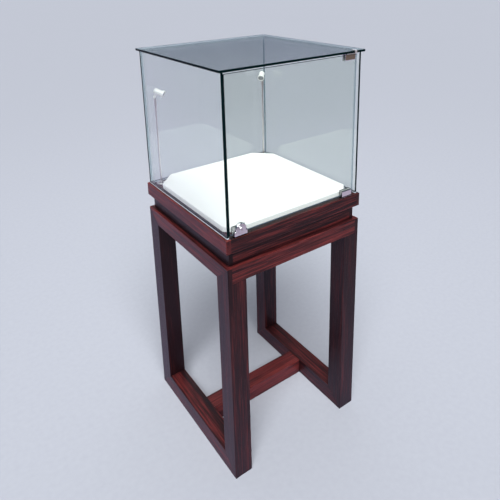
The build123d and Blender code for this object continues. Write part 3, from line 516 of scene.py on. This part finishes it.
# ---- Power ----
dress("led_driver", paint("driver_plastic", DRIVER_WHITE, roughness=0.45, coat=0.0))
dress("wiring", rubber("lead_sheath", LEAD_BLACK))
dress("power_inlet", paint("inlet_plastic", INLET_BLACK, roughness=0.40, coat=0.0))


# ---- Pad cover: cloth swelled by simulation over the CAD solid's outline ----
def pad_outline():
    """The pad's eight corners on plan, in order, and its lowest and highest level, from its CAD solid."""
    low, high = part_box("pad_cover")
    top_points = {(round(v.co.x, 5), round(v.co.y, 5)) for v in nodes["pad_cover"].data.vertices
                  if v.co.z > high.z - millimetre}
    return sorted(top_points, key=lambda p: math.atan2(p[1], p[0])), low.z, high.z


def inset_outline(outline, distance):
    """A convex plan outline moved inward by a distance."""
    count = len(outline)
    result = []
    for k in range(count):
        before, here, after = (Vector(outline[(k + d) % count]) for d in (-1, 0, 1))
        into = (here - before).normalized()
        out = (after - here).normalized()
        normals = Vector((-into.y, into.x)), Vector((-out.y, out.x))
        bisector = (normals[0] + normals[1]).normalized()
        result.append(tuple(here + bisector * distance / bisector.dot(normals[0])))
    return result


def wrapped_board(name, outline, low, high, turn, pitch):
    """A closed solid over a plan outline, with slightly rounded edges, cut into a grid for cloth."""
    support_turns = 2.5            # a cut this many turns in keeps each edge crisp when it is subdivided
    mesh = bpy.data.meshes.new(name)
    shape = bmesh.new()
    floor = [shape.verts.new((x, y, low)) for x, y in outline]
    roof = [shape.verts.new((x, y, high)) for x, y in outline]
    shape.faces.new(list(reversed(floor)))
    shape.faces.new(roof)
    for k in range(len(outline)):
        after = (k + 1) % len(outline)
        shape.faces.new((floor[k], floor[after], roof[after], roof[k]))
    bmesh.ops.bevel(shape, geom=list(shape.edges), offset=turn, segments=3, profile=0.5, affect="EDGES")

    def cut(place, normal):
        everything = list(shape.verts) + list(shape.edges) + list(shape.faces)
        bmesh.ops.bisect_plane(shape, geom=everything, plane_co=place, plane_no=normal)

    reach = max(abs(value) for point in outline for value in point)
    count = int(2 * reach / pitch)
    for axis in (X, Y):
        for k in range(1, count):
            cut(AXIS_VECTORS[axis] * (2 * reach * k / count - reach), AXIS_VECTORS[axis])
    for k, (x, y) in enumerate(outline):
        along = Vector(outline[(k + 1) % len(outline)]) - Vector((x, y))
        inward = Vector((-along.y, along.x, 0)).normalized()
        cut(Vector((x, y, 0)) + inward * support_turns * turn, inward)
    for height in (low + support_turns * turn, (low + high) / 2, high - support_turns * turn):
        cut(AXIS_VECTORS[Z] * height, AXIS_VECTORS[Z])
    bmesh.ops.remove_doubles(shape, verts=list(shape.verts), dist=0.05 * millimetre)
    shape.to_mesh(mesh)
    shape.free()
    solid = bpy.data.objects.new(name, mesh)
    bpy.context.scene.collection.objects.link(solid)
    return solid


def swell(piece, pressure, cap, floor_z):
    """Swell a closed piece as cloth, by no more than cap, and never below the floor it lies on."""
    steps = 20
    shortest_move = 1e-9
    rest = np.array([v.co for v in piece.data.vertices], float)
    cloth = piece.modifiers.new("cloth", "CLOTH")
    cloth.settings.use_pressure = True
    cloth.settings.uniform_pressure_force = pressure
    cloth.settings.effector_weights.gravity = 0
    cloth.settings.tension_stiffness = 25
    cloth.settings.compression_stiffness = 25
    cloth.settings.bending_stiffness = 0.4
    for step in range(1, steps + 1):
        bpy.context.scene.frame_set(step)
    depsgraph = bpy.context.evaluated_depsgraph_get()
    swelled = np.array([v.co for v in piece.evaluated_get(depsgraph).data.vertices], float)
    piece.modifiers.remove(cloth)
    bpy.context.scene.frame_set(1)
    moved = swelled - rest
    length = np.maximum(np.linalg.norm(moved, axis=1, keepdims=True), shortest_move)
    final = rest + moved * np.minimum(1.0, cap / length)
    final[:, Z] = np.maximum(final[:, Z], floor_z)
    piece.data.vertices.foreach_set("co", final.astype(np.float32).ravel())
    piece.data.update()


def subdivide(piece):
    """Give a piece one level of subdivision, applied to its mesh."""
    finer = piece.modifiers.new("finer", "SUBSURF")
    finer.levels = finer.render_levels = 1
    depsgraph = bpy.context.evaluated_depsgraph_get()
    final = bpy.data.meshes.new_from_object(piece.evaluated_get(depsgraph))
    piece.modifiers.clear()
    piece.data = final


outline, pad_floor, pad_roof = pad_outline()
pad_cap = 1.2 * millimetre
pad = wrapped_board("pad_cloth", inset_outline(outline, pad_cap / 2), pad_floor, pad_roof - pad_cap,
                    turn=1.3 * millimetre, pitch=9 * millimetre)
swell(pad, pressure=4.0, cap=pad_cap, floor_z=pad_floor)
subdivide(pad)
pad.data.shade_smooth()
pad.data.materials.clear()
pad.data.materials.append(woven_cloth("pad_white_cloth", CLOTH_WHITE, cloth_painted_glow=0.12))
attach(pad, "case")
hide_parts("pad_cover")


# ---- Studio: pale floor, soft light ----
def studio_paper():
    """Pale paper, whose tone as polished metal and glass mirror it changes from the front to the rear."""
    shader = Shader("studio_paper")
    place = object_place(shader)
    grain = shader.noise(place, scale=60, detail=4)
    paper = shader.blend(grain, PAPER_DARK, PAPER_PALE)
    far_to_near = (-3.2, -1.7)
    near_to_behind = (-0.9, -0.2)
    frontage = shader.part(place, Y)
    mirrored = shader.blend(shader.ramp(frontage, *far_to_near), MIRRORED_FAR, MIRRORED_NEAR)
    mirrored = shader.blend(shader.ramp(frontage, *near_to_behind), mirrored, MIRRORED_BEHIND)
    is_mirrored = shader.add("LightPath", output="Is Glossy Ray")
    return shader.finish(shader.add("BsdfPrincipled", {
        "Base Color": shader.blend(is_mirrored, paper, mirrored),
        "Roughness": 0.85,
        "Specular IOR Level": 0.0,
        "Normal": shader.bump(grain, 0.3 * millimetre, 0.3),
    }))


def studio_floor(radius):
    """A wide pale disc just under the stand."""
    mesh = bpy.data.meshes.new("studio_floor")
    shape = bmesh.new()
    bmesh.ops.create_circle(shape, cap_ends=True, segments=96, radius=radius)
    shape.to_mesh(mesh)
    shape.free()
    mesh.materials.append(studio_paper())
    floor = bpy.data.objects.new("studio_floor", mesh)
    floor.location.z = -0.2 * millimetre
    bpy.context.scene.collection.objects.link(floor)


def add_light(name, kind, towards, **settings):
    """A light whose beam comes from one direction."""
    light = bpy.data.lights.new(name, kind)
    for key, value in settings.items():
        setattr(light, key, value)
    lamp = bpy.data.objects.new(name, light)
    lamp.rotation_mode = "QUATERNION"
    lamp.rotation_quaternion = (-towards).to_track_quat("-Z", "Y")
    lamp.visible_camera = False
    bpy.context.scene.collection.objects.link(lamp)
    return lamp


def studio_world():
    """Even pale light, and a room with windows overhead for polished metal and glass to mirror."""
    shader = Shader("studio_world", "World")
    window_spacing = 9.0
    wall_to_ceiling = (0.28, 0.50)
    direction = shader.add("TexCoord", output="Generated")
    panes = shader.math("SINE", shader.math("MULTIPLY", shader.part(direction, X), window_spacing))
    windows = shader.blend(shader.ramp(panes, -0.25, 0.10), MIRRORED_CEILING, MIRRORED_WINDOW)
    overhead = shader.ramp(shader.part(direction, Z), *wall_to_ceiling)
    mirrored = shader.blend(overhead, MIRRORED_ROOM, windows)
    is_mirrored = shader.add("LightPath", output="Is Glossy Ray")
    is_seen = shader.add("LightPath", output="Is Camera Ray")
    colour = shader.blend(is_mirrored, ROOM_LIGHT, mirrored)
    colour = shader.blend(is_seen, colour, BACKDROP)
    return shader.finish(shader.add("Background", {"Color": colour, "Strength": 1.0}))


studio_floor(radius=80.0)
add_light("soft_sun", "SUN", Vector((-0.34, -0.56, 0.85)),
          energy=5.3, angle=math.radians(40), color=(1.0, 0.99, 0.98))
top_place = Vector((0.2, 0.6, 3.0))
top_light = add_light("top_light", "AREA", top_place - (cad_bounds[0] + cad_bounds[1]) / 2,
                      shape="RECTANGLE", size=1.8, size_y=1.8, energy=20, color=(1.0, 1.0, 1.0))
top_light.location = top_place

scene = bpy.context.scene
scene.world = studio_world()
scene.view_settings.view_transform = "Standard"
scene.cycles.transparent_max_bounces = 40      # a ray can cross many glass faces


# ---- Camera ----
def photo_camera(eye, azimuth, elevation, roll, focal_length, shift):
    """A camera at a standpoint, looking along an azimuth and a downward elevation, with a shifted lens."""
    a, e, r = (math.radians(angle) for angle in (azimuth, elevation, roll))
    back = Vector((math.sin(a) * math.cos(e), -math.cos(a) * math.cos(e), math.sin(e)))
    level = Vector((math.cos(a), math.sin(a), 0))
    upright = back.cross(level)
    right = level * math.cos(r) + upright * math.sin(r)
    up = upright * math.cos(r) - level * math.sin(r)
    turn = Matrix((right, up, back)).transposed()
    lens = bpy.data.cameras.new("camera")
    lens.lens = focal_length
    lens.clip_end = 300
    camera = bpy.data.objects.new("camera", lens)
    camera.location = eye
    camera.rotation_euler = turn.to_euler()
    scene.collection.objects.link(camera)
    scene.camera = camera
    # The shift frames the object from this standpoint only: from any other height the lens is centred.
    for channel, amount in zip(("shift_x", "shift_y"), shift):
        driver = lens.driver_add(channel).driver
        driver.type = "SCRIPTED"
        height = driver.variables.new()
        height.name = "height"
        height.targets[0].id = camera
        height.targets[0].data_path = "location[2]"
        driver.expression = f"{amount} if abs(height - {eye[2]}) < 0.0005 else 0"


photo_camera(
    eye=(-0.7884, -1.1558, 1.3500),
    azimuth=-35.13, elevation=15.88, roll=-1.29,
    focal_length=36.9, shift=(-0.010, -0.268),
)
